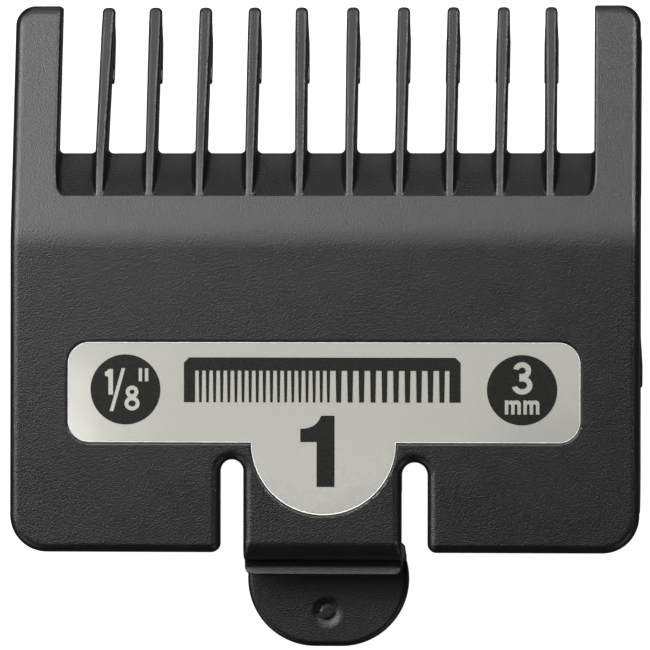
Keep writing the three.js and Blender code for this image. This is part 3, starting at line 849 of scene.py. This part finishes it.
def small_three(stroke=0.41):
    """A small 3, centred."""
    high, low = (0.58, 0.68, 0.65), (-0.53, 0.78, 0.70)
    outline = ellipse(0, high[0], high[1], high[2], 168, -52, 30)
    outline += ellipse(0, low[0], low[1], low[2], 57, -168, 30)
    outline += ellipse(0, low[0], low[1] - stroke, low[2] - stroke, -168, 88, 30)
    outline += [(-0.22, low[0] + low[2] - stroke), (-0.22, high[0] - high[2] + stroke)]
    outline += ellipse(0, high[0], high[1] - stroke, high[2] - stroke, -88, 168, 30)
    return outline


def small_m(width, height, stem):
    """A small m, centred: three stems under two arches."""
    gap = (width - 3 * stem) / 2
    left, foot, top = -width / 2, -height / 2, height / 2
    bow = 0.3
    outline = [(left, foot), (left, top), (left + stem, top), (left + stem, top - 0.1)]
    outline += ellipse(left + stem + gap, top - bow, gap, bow, 110, 60, 6)
    outline += ellipse(width / 2 - bow, top - bow, bow, bow, 90, 0, 8)
    for i in (1, 0):
        low_x = left + stem + i * (stem + gap)
        outline += [(low_x + gap + stem, foot)] if i == 1 else []
        outline += [(low_x + gap, foot)]
        outline += ellipse(low_x + gap / 2, top - bow - 0.12, gap / 2, 0.12, 0, 180, 8)
        outline += [(low_x, foot)]
    return outline


def disc(x, y, r):
    return arc(x, y, r, 0, 360, 96)[:-1]


def numeral_outline():
    """The size numeral: a stem with a curved flag on its left."""
    left, right, top, foot = ink_low.x, ink_high.x, ink_high.y, ink_low.y
    stem_left = right - NUMERAL_STEM_W
    flag_foot = NUMERAL_FLAG_Y - NUMERAL_FLAG_T
    stem = [(right, top), (right, foot), (stem_left, foot), (stem_left, flag_foot)]
    start, bend, end = (left, NUMERAL_FLAG_Y), (stem_left, NUMERAL_FLAG_Y), (stem_left + 0.34, top)
    ways = list(zip(start, bend, end))
    sweep = []
    for i in range(1, 9):
        t = i / 8
        sweep.append([(1 - t) ** 2 * a + 2 * t * (1 - t) * b + t * t * c for a, b, c in ways])
    return [*stem, (left, flag_foot), start, *sweep]


def comb_mark():
    """A plain printed comb: a spine with fine teeth at one end and wide teeth at the other."""
    low_x, high_x, top, shoulder, foot = -10.6, 10.4, -2.35, -3.35, -5.75
    outline = [(high_x - 0.4, top), (low_x + 0.4, top), (low_x, top - 0.4), (low_x, foot)]
    at, end_w = low_x, 0.85
    outline += [(at + end_w, foot), (at + end_w, shoulder)]
    at += end_w
    for count, tooth_w, gap in ((19, 0.27, 0.27), (10, 0.45, 0.42)):
        for _ in range(count):
            at += gap
            outline += [(at, shoulder), (at + 0.04, foot)]
            outline += [(at + tooth_w - 0.04, foot), (at + tooth_w, shoulder)]
            at += tooth_w
    outline += [(high_x - end_w, shoulder), (high_x - end_w, foot), (high_x, foot), (high_x, top - 0.4)]
    return outline


def roundel_marks():
    """Clear outlines in the two roundels, from each one's centre: the size in inches and in millimetres."""
    slash = [(-0.3, 1.62), (-0.01, 1.62), (-0.92, -1.65), (-1.21, -1.65)]
    ticks = [box_outline(1.0, 0.62, 1.27, 1.62), box_outline(1.47, 0.62, 1.74, 1.62)]
    inches = [moved(small_one(1.95), -1.26, 0.58), slash, *ticks]
    inches += [moved(outline, 0.5, -0.64) for outline in small_eight()]
    letters = [moved(small_m(1.22, 1.08, 0.27), side * 0.7, -1.3) for side in (-1, 1)]
    return {"left_roundel": inches, "right_roundel": [moved(small_three(), 0, 0.9), *letters]}


def make_badge():
    """The metal badge in its recess, its film, and the print on it."""
    plan = flat_curve("badge", [badge_outline(-BADGE_RIM)])
    face = flat_piece("badge_face", plan, badge_low.z, badge_high.z, badge_metal())
    ring = flat_curve("rim", [badge_outline(0), badge_outline(0.01 - BADGE_RIM)])
    rim = flat_piece("badge_edge", ring, badge_low.z, badge_high.z, badge_rim(), 0.02)
    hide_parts("badge_plate")
    for piece in (face, rim):
        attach(piece, BODY)

    centre_x, centre_y = (roundel_low.x + roundel_high.x) / 2, (roundel_low.y + roundel_high.y) / 2
    radius = (roundel_high.x - roundel_low.x) / 2
    prints = {"size_numeral": [numeral_outline()]}
    for node, marks in roundel_marks().items():
        x = centre_x if node == "right_roundel" else -centre_x
        prints[node] = [disc(x, centre_y, radius), *(moved(outline, x, centre_y) for outline in marks)]
    print_ink = ink()
    for node, outlines in prints.items():
        piece = flat_piece(node + "_print", flat_curve(node, outlines), ink_low.z, ink_high.z, print_ink)
        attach(piece, BODY)
        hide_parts(node)
    mark_curve = flat_curve("mark", [comb_mark()])
    mark = flat_piece("comb_mark_print", mark_curve, ink_low.z, ink_high.z, print_ink)
    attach(mark, BODY)
    adhesive = bpy.data.objects["badge_adhesive"].data
    adhesive.materials.clear()
    adhesive.materials.append(film())


# ---- stage, camera and light ----------------------------------------------------------------------


def make_floor():
    """A pale floor that stays out of the plastic's reflections."""
    size = 3.0
    mesh = bpy.data.meshes.new("floor")
    corners = [(-size, -size, 0), (size, -size, 0), (size, size, 0), (-size, size, 0)]
    mesh.from_pydata(corners, [], [(0, 1, 2, 3)])
    nodes = Nodes("pale_floor")
    nodes.set(Base_Color=(0.25, 0.25, 0.25, 1), Roughness=0.9)
    nodes.set(Emission_Color=(1, 1, 1, 1), Emission_Strength=1.0)
    mesh.materials.append(nodes.material)
    floor = placed("floor", mesh)
    floor.visible_glossy = False
    floor.visible_diffuse = False


def soft_box(name, azimuth, tilt, distance, width, depth, radiance):
    """A rectangular soft box that faces the comb. Azimuth is its bearing from +X towards +Y, and tilt is
    its angle from straight above, in degrees. Lengths are in metres, and radiance is its brightness."""
    bearing, lean = math.radians(azimuth), math.radians(tilt)
    across = math.sin(lean)
    place = Vector((across * math.cos(bearing), across * math.sin(bearing), math.cos(lean))) * distance
    box = area_light(name, place, width, depth, radiance)
    box.rotation_euler = (-place).to_track_quat("-Z", "Y").to_euler()


def ceiling_box(name, place, width, depth, radiance):
    """A soft box overhead that faces straight down."""
    area_light(name, Vector(place), width, depth, radiance)


def area_light(name, place, width, depth, radiance):
    data = bpy.data.lights.new(name, "AREA")
    data.shape = "RECTANGLE"
    data.size, data.size_y = width, depth
    data.energy = radiance * math.pi * width * depth
    light = placed(name, data)
    light.location = place
    light.visible_camera = False
    return light


# Each soft box: name, azimuth, tilt, distance, width, depth, radiance.
SOFT_BOXES = [
    ("key", 125, 32, 0.32, 0.26, 0.185, 5.1),
    ("front", 92, 60, 0.32, 0.36, 0.08, 4.6),
    ("left", 175, 50, 0.32, 0.12, 0.14, 6.0),
    ("front_left", 143, 50, 0.32, 0.12, 0.14, 11.0),
    ("front_right", 40, 50, 0.32, 0.12, 0.14, 14.0),
    ("rear_left", 225, 66, 0.32, 0.16, 0.12, 2.0),
    ("rear_right", 315, 66, 0.32, 0.16, 0.12, 1.5),
]
# Each ceiling box: name, place, width, depth, radiance.
CEILING_BOXES = [
    ("sky", (-0.035, 0.053, 0.47), 0.18, 0.154, 0.54),
    ("card", (-0.089, -0.0245, 0.44), 0.050, 0.029, 1.9),
    ("low_card", (-0.025, -0.0275, 0.44), 0.05, 0.011, 0.85),
]

# The room glows a little from its walls, and less from higher up: from and to which height of the view
# direction, and how brightly.
ROOM_LOW, ROOM_HIGH = 0.20, 0.45
ROOM_LOW_GLOW, ROOM_HIGH_GLOW = 0.08, 0.012


def make_lights():
    for row in SOFT_BOXES:
        soft_box(*row)
    for row in CEILING_BOXES:
        ceiling_box(*row)
    world = bpy.data.worlds.new("studio")
    bpy.context.scene.world = world
    world.use_nodes = True
    tree = world.node_tree
    sky = tree.nodes["Background"]
    sky.inputs["Color"].default_value = (1, 1, 1, 1)
    place = tree.nodes.new("ShaderNodeTexCoord")
    height = tree.nodes.new("ShaderNodeSeparateXYZ")
    tree.links.new(place.outputs["Generated"], height.inputs["Vector"])
    walls = tree.nodes.new("ShaderNodeMapRange")
    walls.inputs["From Min"].default_value = ROOM_LOW
    walls.inputs["From Max"].default_value = ROOM_HIGH
    walls.inputs["To Min"].default_value = ROOM_LOW_GLOW
    walls.inputs["To Max"].default_value = ROOM_HIGH_GLOW
    tree.links.new(height.outputs["Z"], walls.inputs["Value"])
    tree.links.new(walls.outputs["Result"], sky.inputs["Strength"])


def make_camera():
    """A camera above and a little to the right. It sees VIEW_WIDTH across at the comb's face."""
    place = Vector(VIEW_PLACE)
    target = Vector((VIEW_X * MM, VIEW_Y * MM, FACE_Z * MM))
    ahead = (target - place).normalized()
    right = ahead.cross(Vector((-VIEW_ROLL, 1, 0))).normalized()
    up = right.cross(ahead)
    data = bpy.data.cameras.new("camera")
    data.sensor_width = 36.0
    data.lens = data.sensor_width * (target - place).length / (VIEW_WIDTH * MM)
    camera = placed("camera", data)
    camera.matrix_world = Matrix((right, up, -ahead)).transposed().to_4x4()
    camera.location = place
    bpy.context.scene.camera = camera


make_camera()
make_floor()
make_lights()
ride_moulding(moulding_pieces(plastic()))
make_badge()
bpy.context.scene.view_settings.view_transform = "Standard"
